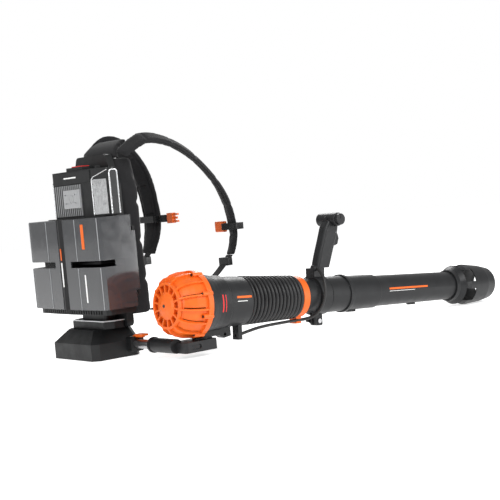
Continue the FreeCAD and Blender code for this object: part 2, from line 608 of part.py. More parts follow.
# ---------------------------------------------------------------- arm that carries the blower
def make_arm():
    casing = rod((ARM_START, 0, TUBE_Z), (1, 0, 0), ARM_RADIUS, TUBE_END + 4 - ARM_START)
    head = block(BLOWER_X - 34, BLOWER_X + 34, 0, SWIVEL_Y + 26, TUBE_Z - 17, SWIVEL_Z - 0.3)
    head = round_edges(head, 8.0, runs_along(2))
    casing = casing.fuse(head)
    casing = casing.cut(rod((ARM_START - 1, 0, TUBE_Z), (1, 0, 0), TUBE_RADIUS + RUN_CLEARANCE,
                            TUBE_END + 0.3 - ARM_START + 1))
    casing = casing.cut(rod((BLOWER_X, SWIVEL_Y, TUBE_Z - 20), (0, 0, 1), 6.07, 60))
    pocket = block(BLOWER_X + 31, BLOWER_X + 35, 16, 46, TUBE_Z - 10, TUBE_Z + 2)
    collar = ring((ARM_START - 6, 0, TUBE_Z), (1, 0, 0), ARM_RADIUS + 2, TUBE_RADIUS + RUN_CLEARANCE, 7)
    casing = casing.cut(round_edges(pocket, 5.0, runs_along(0))).fuse(collar)
    save("arm_casing", casing.removeSplitter())
    plate = rod((BLOWER_X, SWIVEL_Y, SWIVEL_Z), (0, 0, 1), 22, 4.0)
    pin = rod((BLOWER_X, SWIVEL_Y, TUBE_Z - 17), (0, 0, 1), 6.0, SWIVEL_Z - TUBE_Z + 18)
    neck = block(BLOWER_X - 17, BLOWER_X + 17, SWIVEL_Y - 6, SWIVEL_Y + 22, SWIVEL_Z, SWIVEL_Z + 24)
    strut = plate_x([(SWIVEL_Y + 10, SWIVEL_Z + 2), (SWIVEL_Y + 48, SWIVEL_Z + 2), (SWIVEL_Y + 62, SWIVEL_Z - 7),
                     (SWIVEL_Y + 84, SWIVEL_Z - 4), (SWIVEL_Y + 84, SWIVEL_Z + 20),
                     (SWIVEL_Y + 10, SWIVEL_Z + 20)], BLOWER_X - 12, BLOWER_X + 12)
    bracket = join([plate, pin, neck, strut])
    flange = on_blower(rod((0, CAGE_FLANGE_START - 10, 0), (0, 1, 0), CAGE_FLANGE_RADIUS + 0.3, 26))
    outer = [(radius + 0.2, along) for radius, along in HOUSING_OUTLINE]
    rear_hull = on_blower(turned([(0, HOUSING_START)] + outer + [(0, HOUSING_END)]))
    bracket = bracket.cut(flange).cut(rear_hull)
    bracket = bracket.cut(rod((BLOWER_X - 20, SWIVEL_Y + 66, SWIVEL_Z + 2), (1, 0, 0), 4.0, 40))
    save("housing_bracket", bracket)


# ---------------------------------------------------------------- intake, housing, motor and fan
def make_intake():
    front = ring((0, CAGE_FRONT, 0), (0, 1, 0), CAGE_RING_RADIUS, CAGE_RING_RADIUS - 6, 7)
    flange = ring((0, CAGE_FLANGE_START, 0), (0, 1, 0), CAGE_FLANGE_RADIUS, 75, HOUSING_START - CAGE_FLANGE_START)
    hub = turned([(0, -30), (14, -30), (28, -27.5), (34, -23), (34, -14), (0, -14)])
    outline = [(32, -24), (55, -24), (66, -18), (75, -5), (80.5, 16), (82.5, 47), (76, 47), (74, 17),
               (69, 1), (61, -10), (52, -14), (32, -14)]
    points = [V(radius, along, -2.2) for radius, along in outline]
    rib = Part.Face(Part.makePolygon(points + points[:1])).extrude(V(0, 0, 4.4))
    bosses = []
    for angle in CAGE_SCREW_ANGLES:
        boss = rod((80, CAGE_FLANGE_START - 14, 0), (0, 1, 0), 6, HOUSING_START - CAGE_FLANGE_START + 14)
        boss.rotate(V(0, 0, 0), V(0, 1, 0), angle)
        bosses.append(boss)
    liner = turned([(52, -17), (62, -11), (69.5, 0), (74.5, 18), (77, 47), (75, 47), (72.5, 18), (67.5, 1),
                    (61, -9), (52, -15)])
    bowl = ring((0, -14, 0), (0, 1, 0), 53, 20, 2)
    air_slot = block(54, 90, -12, 40, 2.6, 5.2).fuse(block(36, 50, -16, -10, 2.6, 5.2))
    for copy in spun(air_slot, CAGE_RIBS, 8.0):
        liner = liner.cut(copy)
        bowl = bowl.cut(copy)
    cage = join([front, flange, hub, liner, bowl] + spun(rib, CAGE_RIBS, 8.0) + bosses)
    screws = []
    for angle in CAGE_SCREW_ANGLES:
        screw = rod((80, CAGE_FLANGE_START - 16, 0), (0, 1, 0), 3.2, 12)
        screw.rotate(V(0, 0, 0), V(0, 1, 0), angle)
        screws.append(screw)
        cage = cage.cut(screw)
    save("intake_cage", on_blower(cage.cut(rod((0, -40, 0), (0, 1, 0), 4.0, 14))))
    screws.append(rod((0, -31, 0), (0, 1, 0), 4.0, 5))
    save("cage_screws", on_blower(group(screws)))


def make_housing():
    inner = [(radius - HOUSING_WALL, along) for radius, along in HOUSING_OUTLINE]
    neck = [point for point in inner if point[1] > 140]
    bracket = block(-2, 22, 176, 188, -96, -55)
    bracket = bracket.cut(turned([(0, neck[0][1])] + neck + [(0, HOUSING_END)]))
    bracket = bracket.cut(rod((10, 170, -86), (0, 1, 0), CABLE_RADIUS + 0.4, 30))
    bracket = bracket.cut(cord(CABLE_REAR, CABLE_RADIUS + 0.3))
    save("motor_housing", on_blower(turned(HOUSING_OUTLINE + inner[::-1]).fuse(bracket).removeSplitter()))
    hull = turned([(0, 140), (59.4, 140), (59.2, 151), (58.6, 170), (0, 170)])
    core = ring((0, 130, 0), (0, 1, 0), MOTOR_RADIUS + 3, MOTOR_RADIUS + 0.1, 60)
    vane = block(MOTOR_RADIUS + 2, 90, 140, 170, -1.5, 1.5)
    vanes = join([core] + spun(vane, 7, 12.0)).common(hull.fuse(rod((0, 128, 0), (0, 1, 0), MOTOR_RADIUS + 3, 64)))
    cone = turned([(0, 190), (MOTOR_RADIUS + 3, 190), (MOTOR_RADIUS - 6, 206), (8, 224), (0, 226)])
    save("stator_vanes", on_blower(join([vanes, cone])))
    can = ring((0, 132, 0), (0, 1, 0), MOTOR_RADIUS, MOTOR_RADIUS - 3, 56)
    ends = [ring((0, y, 0), (0, 1, 0), MOTOR_RADIUS - 3, 11, 7) for y in (132, 181)]
    windings = ring((0, 143, 0), (0, 1, 0), MOTOR_RADIUS - 3, 18, 34)
    save("motor_stator", on_blower(group([join([can] + ends), windings])))
    bearings = [ring((0, y, 0), (0, 1, 0), 11, 4.05, 7) for y in (132, 181)]
    save("motor_bearings", on_blower(group(bearings)))


def make_fan():
    hub = turned([(0, 84), (10, 85), (22, 92), (30, 104), (30, 126), (0, 126)])
    blade = block(24, 90, 98, 122, -1.6, 1.6)
    blade.rotate(V(0, 110, 0), V(1, 0, 0), 38)
    sweep = ring((0, 90, 0), (0, 1, 0), FAN_RADIUS, 28, 36)
    blades = [copy.common(sweep) for copy in spun(blade, 11)]
    fan = join([hub] + blades).cut(rod((0, 96, 0), (0, 1, 0), 4.0, 40))
    save("fan_rotor", on_blower(fan))
    shaft = rod((0, 96, 0), (0, 1, 0), 4.0, 91)
    save("rotor_shaft", on_blower(shaft.fuse(rod((0, 146, 0), (0, 1, 0), 17.4, 28)).removeSplitter()))


# ---------------------------------------------------------------- bellows, pipe and nozzle
def bellows_half(start, end):
    pitch = (end - start) / BELLOWS_RIDGES
    outer = [(BELLOWS_ROOT, start)]
    for index in range(BELLOWS_RIDGES):
        crest = start + (index + 0.5) * pitch
        share = (crest - BELLOWS_START) / (BELLOWS_END - BELLOWS_START)
        radius = BELLOWS_CREST_REAR + (BELLOWS_CREST_FRONT - BELLOWS_CREST_REAR) * share
        outer += [(radius, crest - 2.0), (radius, crest + 2.0), (BELLOWS_ROOT, start + (index + 1) * pitch)]
    inner = [(radius - 2.0, along) for radius, along in outer]
    return turned(outer + inner[::-1])


def make_bellows():
    save("bellows_rear", on_blower(bellows_half(BELLOWS_START, BELLOWS_MIDDLE - 2.2)))
    save("bellows_front", on_blower(bellows_half(BELLOWS_MIDDLE + 2.2, BELLOWS_END)))
    save("bellows_hoop", on_blower(ring((0, BELLOWS_MIDDLE - 2, 0), (0, 1, 0), BELLOWS_ROOT, BELLOWS_ROOT - 3, 4)))


def make_pipe():
    band = ring((0, BELLOWS_END + 0.3, 0), (0, 1, 0), 54, PIPE_RADIUS, 20)
    lug = block(-14, 14, BELLOWS_END + 3, BELLOWS_END + 19, -70, -50)
    band = band.fuse(round_edges(lug, 3.0, runs_along(1)))
    band = band.cut(rod((0, 300, 0), (0, 1, 0), PIPE_RADIUS, 150))
    band = band.cut(rod((10, 300, -61), (0, 1, 0), CABLE_RADIUS + 1.0, 150))
    save("bellows_clamp", on_blower(band.removeSplitter()))
    bore = PIPE_RADIUS - PIPE_WALL + 0.2
    sleeve = turned([(PIPE_RADIUS, BELLOWS_END + 0.3), (PIPE_RADIUS, CUFF_END), (48, CUFF_END), (48, 545),
                     (46.8, 560), (46, SLEEVE_END), (bore, SLEEVE_END), (bore, BELLOWS_END + 0.3)])
    flange = ring((0, 540, 0), (0, 1, 0), 51.5, 46, 8)
    tab = block(-7, 7, 566, 592, -52, -45.2)
    save("rear_pipe", on_blower(join([sleeve, flange, round_edges(tab, 2.0, runs_along(1))])))
    pipe = turned([(43, 570), (42.6, SLEEVE_END + 10), (40, FRONT_PIPE_END), (37.5, FRONT_PIPE_END), (40, 570)])
    bump = block(-5, 5, 800, 826, -46, -40.5)
    save("front_pipe", on_blower(pipe.fuse(bump).removeSplitter()))
    make_nozzle()


def make_nozzle():
    start = 962.0
    shell = turned([(40.4, start), (45, start), (45.5, start + 14), (57, start + 30), (NOZZLE_RADIUS, 1006),
                    (58.5, 1034), (53.5, 1088), (46.5, 1124), (43.5, NOZZLE_END), (40, NOZZLE_END),
                    (43.5, 1120), (50.5, 1086), (55.5, 1033), (57.5, 1008), (54, start + 33), (40.4, start + 20)])
    window = block(0, 90, 990, 1030, -20, 20)
    for copy in spun(window, NOZZLE_WINDOWS, 30.0):
        shell = shell.cut(copy)
    save("nozzle", on_blower(shell.removeSplitter()))


# ---------------------------------------------------------------- handle on the pipe
def make_handle():
    collar = ring((0, HANDLE_Y - 18, 0), (0, 1, 0), 52, PIPE_RADIUS + RUN_CLEARANCE, 36)
    lug = block(-11, 11, HANDLE_Y - 12, HANDLE_Y + 12, -80, -44)
    lug = round_edges(lug, 5.0, runs_along(0))
    neck = block(-17, 17, HANDLE_Y - 16, HANDLE_Y + 20, 40, 72)
    clamp = join([collar, lug, neck]).cut(rod((0, 400, 0), (0, 1, 0), PIPE_RADIUS + RUN_CLEARANCE, 110))
    clamp = clamp.cut(block(-3, 3, HANDLE_Y - 20, HANDLE_Y + 20, -84, -40))
    clamp = clamp.cut(rod((-20, HANDLE_Y, CLAMP_BOLT_Z), (1, 0, 0), 3.1, 40))
    ear = rod((14, HANDLE_Y - 20, 72), (0, 1, 0), 8, 14)
    grip = grip_shape()
    clamp = clamp.fuse(ear).removeSplitter().cut(grip)
    cable_hole = rod(CABLE_HANDLE[-1], (-12, 2, 7), CABLE_RADIUS + 0.1, 20)
    cable_entry = cord(CABLE_HANDLE, CABLE_RADIUS + 0.1)
    save("handle_clamp", on_blower(clamp.cut(cable_entry).cut(cable_hole)))
    bolt = rod((-24, HANDLE_Y, CLAMP_BOLT_Z), (1, 0, 0), 3.0, 35)
    bolt = bolt.fuse(rod((11, HANDLE_Y, CLAMP_BOLT_Z), (1, 0, 0), 6, 4))
    pin = rod((-14, TRIGGER_Y, TRIGGER_Z), (1, 0, 0), 2.0, 28)
    save("handle_pins", on_blower(group([bolt.removeSplitter(), pin])))
    knob = rod((-23, HANDLE_Y, CLAMP_BOLT_Z), (1, 0, 0), 8, 11.5)
    wings = block(-23, -14, HANDLE_Y - 17, HANDLE_Y + 17, CLAMP_BOLT_Z - 3.5, CLAMP_BOLT_Z + 3.5)
    knob = knob.fuse(round_edges(wings, 3.0, runs_along(0)))
    knob = knob.cut(rod((-30, HANDLE_Y, CLAMP_BOLT_Z), (1, 0, 0), 3.05, 40))
    save("wing_knob", on_blower(knob.removeSplitter()))
    pocket = block(-7.2, 7.2, 503, 548, 124, 174)
    switch_bay = block(-6.2, 6.2, 484, 504, 134, 158)
    button_bay = rod((0, HEAD_Y - HEAD_RADIUS - 4, HEAD_Z), (0, 1, 0), 8.2, 10)
    dial_bore = rod((HEAD_RIGHT - 8, HEAD_Y, HEAD_Z), (1, 0, 0), 4.07, 10)
    grip = grip.cut(pocket).cut(switch_bay).cut(button_bay).cut(dial_bore)
    grip = grip.cut(rod((-20, TRIGGER_Y, TRIGGER_Z), (1, 0, 0), 2.0, 40))
    save("handle_grip", on_blower(grip))
    save("trigger_switch", on_blower(block(-6, 6, 484.2, 502, 134.2, 157.8)))
    trigger = plate_x([(517, 171), (531, 171), (538, 160), (541, 149), (536, 134), (527, 130), (521, 133),
                       (519, 150)], -6.8, 6.8)
    trigger = round_edges(trigger, 2.5, lambda e: e.BoundBox.YMin > 526 and not runs_along(0)(e))
    save("throttle_trigger", on_blower(trigger.cut(rod((-20, TRIGGER_Y, TRIGGER_Z), (1, 0, 0), 2.05, 40))))
    dial = rod((HEAD_RIGHT + 0.3, HEAD_Y, HEAD_Z), (1, 0, 0), 15, 9)
    dial = dial.fuse(rod((HEAD_RIGHT - 7, HEAD_Y, HEAD_Z), (1, 0, 0), 4.0, 8))
    pointer = block(HEAD_RIGHT + 9, HEAD_RIGHT + 10.5, HEAD_Y - 1.5, HEAD_Y + 1.5, HEAD_Z + 2, HEAD_Z + 13)
    save("speed_dial", on_blower(dial.fuse(pointer).removeSplitter()))
    save("boost_button", on_blower(rod((0, HEAD_Y - HEAD_RADIUS - 3.2, HEAD_Z), (0, 1, 0), 8.0, 6.0)))


def grip_shape():
    body = plate_x([(452, 72.1), (498, 72.1), (503, 86), (512, 112), (522, 140), (531, 164), (536, 190),
                    (522, 204), (500, 200), (487, 180), (476, 146), (464, 112)], -16, 16)
    body = round_edges(body, 9.0, lambda e: not runs_along(0)(e) and e.BoundBox.ZMin > 73)
    head = rod((HEAD_LEFT, HEAD_Y, HEAD_Z), (1, 0, 0), HEAD_RADIUS, HEAD_RIGHT - HEAD_LEFT)
    return join([body, round_edges(head, 3.0, lambda e: e.Length > 60)])


def make_cable():
    save("control_cable_rear", on_blower(cord(CABLE_REAR, CABLE_RADIUS)))
    save("control_cable_front", on_blower(cord(CABLE_FRONT, CABLE_RADIUS)))
    save("control_cable_handle", on_blower(cord(CABLE_HANDLE, CABLE_RADIUS)))


os.makedirs("parts", exist_ok=True)
make_foot()
make_tray()
make_back_frame()
make_tube_mount()
for cover_side in (-1, 1):
    make_cover(cover_side)
make_camp()
make_grille()
make_batteries()
make_controller()
make_heat_sink()
make_harness()
make_arm()
make_intake()
make_housing()
make_fan()
make_bellows()
make_pipe()
make_handle()
make_cable()
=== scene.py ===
"""Visual model of the backpack leaf blower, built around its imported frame.

Lengths in the piece tables are millimetres; everything in Blender is in metres.
The blower's own pieces are described about its straight axis and then laid on the arm.
"""
import bmesh
import bpy
import math
from mathutils import Matrix, Vector


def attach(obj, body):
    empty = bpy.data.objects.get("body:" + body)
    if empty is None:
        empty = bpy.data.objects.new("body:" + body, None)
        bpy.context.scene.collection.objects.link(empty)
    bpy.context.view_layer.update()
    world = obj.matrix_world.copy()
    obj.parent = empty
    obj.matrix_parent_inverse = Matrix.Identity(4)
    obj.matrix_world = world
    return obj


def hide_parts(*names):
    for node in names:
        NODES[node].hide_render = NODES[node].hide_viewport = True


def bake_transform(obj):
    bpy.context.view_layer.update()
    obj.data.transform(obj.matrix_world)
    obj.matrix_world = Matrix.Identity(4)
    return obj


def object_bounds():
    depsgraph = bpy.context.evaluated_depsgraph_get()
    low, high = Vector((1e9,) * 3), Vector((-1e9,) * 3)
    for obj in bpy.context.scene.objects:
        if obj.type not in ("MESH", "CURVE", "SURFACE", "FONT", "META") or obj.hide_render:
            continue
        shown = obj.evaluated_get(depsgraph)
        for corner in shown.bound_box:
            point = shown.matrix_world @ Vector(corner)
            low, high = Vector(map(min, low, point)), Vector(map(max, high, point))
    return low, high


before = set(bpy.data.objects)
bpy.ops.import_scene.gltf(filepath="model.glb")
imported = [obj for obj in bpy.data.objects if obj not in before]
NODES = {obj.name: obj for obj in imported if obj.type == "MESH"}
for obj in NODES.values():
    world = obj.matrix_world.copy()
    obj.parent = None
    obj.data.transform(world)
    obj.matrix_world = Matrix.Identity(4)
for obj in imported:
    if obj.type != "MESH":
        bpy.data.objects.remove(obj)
cad_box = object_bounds()

MM = 0.001
PITCH = math.radians(4.0)
BLOWER = (Matrix.Translation((0.310, 0.050, 0.128)) @ Matrix.Rotation(-PITCH, 4, "X")
          @ Matrix.Translation((0, -0.050, 0)))

# colours, linear
BLACK = (0.0085, 0.009, 0.0095)
DARK = (0.013, 0.0135, 0.0145)
SOFT_BLACK = (0.006, 0.006, 0.0068)
FABRIC_BLACK = (0.0065, 0.0065, 0.0072)
ORANGE = (0.74, 0.125, 0.012)
SILVER = (0.62, 0.63, 0.64)
WHITE = (0.85, 0.85, 0.84)
RED = (0.62, 0.03, 0.03)


# ---------------------------------------------------------------- camera, stage and light
def make_camera():
    """The main view: slightly above the pack, from its rear right, rolled a few degrees."""
    azimuth = math.radians(52.0)
    elevation = math.radians(2.7)
    roll = math.radians(5.3)
    back = Vector((math.sin(azimuth) * math.cos(elevation), -math.cos(azimuth) * math.cos(elevation),
                   math.sin(elevation)))
    right = (-back).cross(Vector((0, 0, 1))).normalized()
    up = right.cross(-back)
    image_right = right * math.cos(roll) - up * math.sin(roll)
    image_up = right * math.sin(roll) + up * math.cos(roll)
    data = bpy.data.cameras.new("camera")
    data.sensor_width = 36.0
    data.lens = 85.9
    data.clip_end = 50.0
    camera = bpy.data.objects.new("camera", data)
    axes = Matrix((image_right, image_up, back)).transposed().to_4x4()
    camera.matrix_world = Matrix.Translation((2.7024, -1.6208, 0.3846)) @ axes
    bpy.context.collection.objects.link(camera)
    bpy.context.scene.camera = camera


def area_light(name, place, target, size, power, colour=(1, 1, 1)):
    data = bpy.data.lights.new(name, "AREA")
    data.shape = "RECTANGLE"
    data.size = size[0]
    data.size_y = size[1]
    data.energy = power
    data.color = colour
    light = bpy.data.objects.new(name, data)
    light.location = place
    aim = Vector(target) - Vector(place)
    light.rotation_euler = aim.to_track_quat("-Z", "Y").to_euler()
    bpy.context.collection.objects.link(light)


def make_stage():
    world = bpy.data.worlds.new("world")
    world.use_nodes = True
    tree = world.node_tree
    background = tree.nodes["Background"]
    background.inputs["Color"].default_value = (1, 1, 1, 1)
    seen = add(tree, "ShaderNodeLightPath").outputs["Is Camera Ray"]
    tree.links.new(spread(tree, seen, 0.5, 1.0, 0, 1), background.inputs["Strength"])
    bpy.context.scene.world = world
    bpy.context.scene.view_settings.view_transform = "Standard"
    mesh = bpy.data.meshes.new("floor")
    mesh.from_pydata([(-9, -9, 0), (9, -9, 0), (9, 9, 0), (-9, 9, 0)], [], [(0, 1, 2, 3)])
    floor = bpy.data.objects.new("floor", mesh)
    floor.location.z = cad_box[0][2] - 0.0002
    bpy.context.collection.objects.link(floor)
    material, tree, shader = new_material("floor")
    shader.inputs["Base Color"].default_value = (0.9, 0.9, 0.9, 1)
    shader.inputs["Roughness"].default_value = 0.9
    shader.inputs["Specular IOR Level"].default_value = 0.0
    shader.inputs["Emission Color"].default_value = (1, 1, 1, 1)
    shader.inputs["Emission Strength"].default_value = 0.62
    mesh.materials.append(material)
    area_light("key", (2.6, -0.6, 2.4), (0.1, 0.2, 0.2), (1.6, 1.6), 66)
    area_light("fill", (0.6, -2.8, 1.0), (0.0, 0.0, 0.3), (1.8, 1.4), 26)
    area_light("rim", (-1.4, 1.8, 1.7), (0.1, 0.2, 0.3), (1.2, 1.2), 30)
    area_light("strip", (2.2, 1.6, 0.7), (0.3, 0.5, 0.1), (0.5, 1.8), 18)


# ---------------------------------------------------------------- materials
def new_material(name):
    material = bpy.data.materials.new(name)
    material.use_nodes = True
    tree = material.node_tree
    return material, tree, tree.nodes["Principled BSDF"]


def add(tree, kind, **values):
    """A node with its properties and its input values set by name."""
    node = tree.nodes.new(kind)
    for key, value in values.items():
        if hasattr(node, key):
            setattr(node, key, value)
        else:
            node.inputs[key.replace("_", " ")].default_value = value
    return node


def coordinates(tree, stretch=(1, 1, 1), source="Object"):
    place = add(tree, "ShaderNodeTexCoord")
    mapping = add(tree, "ShaderNodeMapping")
    mapping.inputs["Scale"].default_value = stretch
    tree.links.new(place.outputs[source], mapping.inputs["Vector"])
    return mapping.outputs["Vector"]


def noise(tree, vector, scale, detail=3.0, roughness=0.5):
    node = add(tree, "ShaderNodeTexNoise", Scale=scale, Detail=detail, Roughness=roughness)
    tree.links.new(vector, node.inputs["Vector"])
    return node.outputs["Fac"]


def spread(tree, value, low, high, from_low=0.3, from_high=0.7):
    node = add(tree, "ShaderNodeMapRange")
    node.inputs["From Min"].default_value = from_low
    node.inputs["From Max"].default_value = from_high
    node.inputs["To Min"].default_value = low
    node.inputs["To Max"].default_value = high
    tree.links.new(value, node.inputs["Value"])
    return node.outputs["Result"]


def tint(tree, factor, dark, light):
    node = add(tree, "ShaderNodeMix", data_type="RGBA")
    node.inputs["A"].default_value = (*dark, 1)
    node.inputs["B"].default_value = (*light, 1)
    tree.links.new(factor, node.inputs["Factor"])
    return node.outputs["Result"]


def blend_colour(tree, factor, first, light):
    node = add(tree, "ShaderNodeMix", data_type="RGBA")
    node.inputs["B"].default_value = (*light, 1)
    tree.links.new(first, node.inputs["A"])
    tree.links.new(factor, node.inputs["Factor"])
    return node.outputs["Result"]


def bump(tree, height, strength, distance, normal=None):
    node = add(tree, "ShaderNodeBump", Strength=strength, Distance=distance)
    tree.links.new(height, node.inputs["Height"])
    if normal is not None:
        tree.links.new(normal, node.inputs["Normal"])
    return node.outputs["Normal"]


def math_node(tree, operation, first, second):
    node = add(tree, "ShaderNodeMath", operation=operation)
    for socket, value in zip(node.inputs, (first, second)):
        if isinstance(value, (int, float)):
            socket.default_value = value
        else:
            tree.links.new(value, socket)
    return node.outputs["Value"]


def edge_rub_and_highlight(tree, rounded, amount):
    """How far the rounded normal leaves the flat one, which is only at edges."""
    flat = add(tree, "ShaderNodeNewGeometry")
    dot = add(tree, "ShaderNodeVectorMath", operation="DOT_PRODUCT")
    tree.links.new(rounded, dot.inputs[0])
    tree.links.new(flat.outputs["Normal"], dot.inputs[1])
    return spread(tree, dot.outputs["Value"], amount, 0.0, 0.80, 0.99)


def plastic(name, colour, roughness=0.42, grain=1300.0, depth=0.00012, mottle=0.16, edge=0.0009,
            rub_and_highlight=0.25, specular=0.3):
    """Moulded plastic: fine spark grain, slightly uneven colour and gloss, edges a little paler, partly as rubbed
    wear and partly as a painted edge highlight.
    """
    material, tree, shader = new_material(name)
    vector = coordinates(tree)
    cloud = spread(tree, noise(tree, vector, 26, 5), 0, 1)
    base = tint(tree, cloud, [c * (1 - mottle) for c in colour], [c * (1 + mottle) for c in colour])
    rounded = add(tree, "ShaderNodeBevel", samples=4, Radius=edge).outputs["Normal"]
    scuff = noise(tree, vector, 170, 4, 0.65)
    # painted highlight and wear: edges are painted paler, partly as rubbed wear and partly as a painted edge
    # highlight
    rubbed_and_highlit = math_node(tree, "MULTIPLY", edge_rub_and_highlight(tree, rounded, rub_and_highlight),
                       spread(tree, scuff, 0.2, 1, 0.4, 0.62))
    pale = [min(1.0, c * 1.6 + 0.02) for c in colour]
    tree.links.new(blend_colour(tree, rubbed_and_highlit, base, pale), shader.inputs["Base Color"])
    gloss = spread(tree, noise(tree, vector, 48, 4), roughness - 0.06, roughness + 0.07)
    tree.links.new(gloss, shader.inputs["Roughness"])
    tree.links.new(bump(tree, noise(tree, vector, grain, 2), 0.5, depth, rounded), shader.inputs["Normal"])
    shader.inputs["Specular IOR Level"].default_value = specular
    return material


def metal(name, colour, roughness, stretch=(4, 90, 90), scratch=0.00006):
    material, tree, shader = new_material(name)
    vector = coordinates(tree, stretch)
    lines = noise(tree, vector, 22, 6, 0.7)
    rounded = add(tree, "ShaderNodeBevel", samples=4, Radius=0.0006).outputs["Normal"]
    base = tint(tree, spread(tree, lines, 0, 1), [c * 0.78 for c in colour], colour)
    tree.links.new(base, shader.inputs["Base Color"])
    tree.links.new(spread(tree, lines, roughness - 0.08, roughness + 0.1), shader.inputs["Roughness"])
    tree.links.new(bump(tree, lines, 0.4, scratch, rounded), shader.inputs["Normal"])
    shader.inputs["Metallic"].default_value = 1.0
    return material


def rubber(name, colour, roughness=0.62):
    material, tree, shader = new_material(name)
    vector = coordinates(tree)
    dust = spread(tree, noise(tree, vector, 38, 6, 0.6), 0, 1)
    tree.links.new(tint(tree, dust, colour, [c * 1.9 + 0.004 for c in colour]), shader.inputs["Base Color"])
    tree.links.new(spread(tree, dust, roughness - 0.1, roughness + 0.1, 0, 1), shader.inputs["Roughness"])
    fine = noise(tree, vector, 900, 3)
    tree.links.new(bump(tree, fine, 0.5, 0.0002), shader.inputs["Normal"])
    shader.inputs["Specular IOR Level"].default_value = 0.4
    return material


def smoked(name, colour, alpha):
    """See-through smoked plastic, a little uneven in colour and gloss."""
    material, tree, shader = new_material(name)
    vector = coordinates(tree)
    cloud = spread(tree, noise(tree, vector, 14, 3), 0, 1)
    tree.links.new(tint(tree, cloud, [c * 0.86 for c in colour], [c * 1.12 for c in colour]),
                   shader.inputs["Base Color"])
    tree.links.new(spread(tree, noise(tree, vector, 40, 5), 0.07, 0.17), shader.inputs["Roughness"])
    shader.inputs["Alpha"].default_value = alpha
    shader.inputs["Specular IOR Level"].default_value = 0.75
    shader.inputs["Coat Weight"].default_value = 0.35
    shader.inputs["Coat Roughness"].default_value = 0.06
    return material


def mesh_fabric(name, colour):
    """Padded air mesh: a knit of small cells about 3 mm across over soft folds, with painted shade in the cells'
    hollows.
    """
    material, tree, shader = new_material(name)
    vector = coordinates(tree)
    cells = add(tree, "ShaderNodeTexVoronoi", Scale=340.0)
    tree.links.new(vector, cells.inputs["Vector"])
    hole = spread(tree, cells.outputs["Distance"], 0, 1, 0.12, 0.5)
    thread = noise(tree, vector, 1600, 2)
    height = math_node(tree, "ADD", hole, math_node(tree, "MULTIPLY", thread, 0.35))
    worn = spread(tree, noise(tree, vector, 20, 5, 0.6), 0, 1)
    base = tint(tree, worn, [c * 0.75 for c in colour], [c * 1.5 for c in colour])
    # painted shade: the cells' hollows are painted darker and the raised threads lighter
    shade = spread(tree, hole, 0.0, 0.5, 0.0, 1.0)
    tree.links.new(blend_colour(tree, shade, base, [c * 1.9 for c in colour]), shader.inputs["Base Color"])
    tree.links.new(bump(tree, height, 0.6, 0.0007), shader.inputs["Normal"])
    shader.inputs["Roughness"].default_value = 0.9
    shader.inputs["Sheen Weight"].default_value = 0.12
    shader.inputs["Sheen Roughness"].default_value = 0.5
    shader.inputs["Specular IOR Level"].default_value = 0.25
    return material


def woven(name, colour, rib=700.0):
    """Webbing: ribs across the strap and a twill between them, from the strap's own length and width, with
    painted shade between the ribs.
    """
    material, tree, shader = new_material(name)
    vector = coordinates(tree, source="UV")
    ribs = add(tree, "ShaderNodeTexWave", wave_type="BANDS", bands_direction="Y", Scale=rib / 10)
    twill = add(tree, "ShaderNodeTexWave", wave_type="BANDS", bands_direction="DIAGONAL", Scale=rib / 5)
    for node in (ribs, twill):
        tree.links.new(vector, node.inputs["Vector"])
    height = math_node(tree, "ADD", ribs.outputs["Fac"],
                       math_node(tree, "MULTIPLY", twill.outputs["Fac"], 0.5))
    fade = spread(tree, noise(tree, coordinates(tree), 30, 5), 0, 1)
    base = tint(tree, fade, [c * 0.8 for c in colour], [c * 1.5 for c in colour])
    # painted shade: the weave is painted darker in its grooves and lighter on its raised ribs
    tree.links.new(
        blend_colour(tree, spread(tree, height, 0, 0.5, 0.2, 1.3), base, [c * 2.2 for c in colour]),
        shader.inputs["Base Color"])
    tree.links.new(bump(tree, height, 0.7, 0.0004), shader.inputs["Normal"])
    shader.inputs["Roughness"].default_value = 0.8
    shader.inputs["Sheen Weight"].default_value = 0.1
    shader.inputs["Specular IOR Level"].default_value = 0.3
    return material


def finned(name, colour, tip, root):
    """Machined alloy with painted shade in the gaps between the fins, darker with depth behind their tips (metres
    along Y).
    """
    material, tree, shader = new_material(name)
    vector = coordinates(tree)
    parts = add(tree, "ShaderNodeSeparateXYZ")
    tree.links.new(vector, parts.inputs["Vector"])
    # painted shade: the gaps between the fins are painted near black with depth behind the fin tips
    depth = spread(tree, parts.outputs["Y"], 0, 1, tip, root)
    lines = noise(tree, coordinates(tree, (60, 60, 6)), 22, 6, 0.7)
    bright = tint(tree, spread(tree, lines, 0, 1), [c * 0.8 for c in colour], colour)
    tree.links.new(blend_colour(tree, depth, bright, (0.004, 0.004, 0.004)), shader.inputs["Base Color"])
    tree.links.new(spread(tree, lines, 0.25, 0.42), shader.inputs["Roughness"])
    tree.links.new(bump(tree, lines, 0.4, 0.00005), shader.inputs["Normal"])
    shader.inputs["Metallic"].default_value = 0.85
    return material


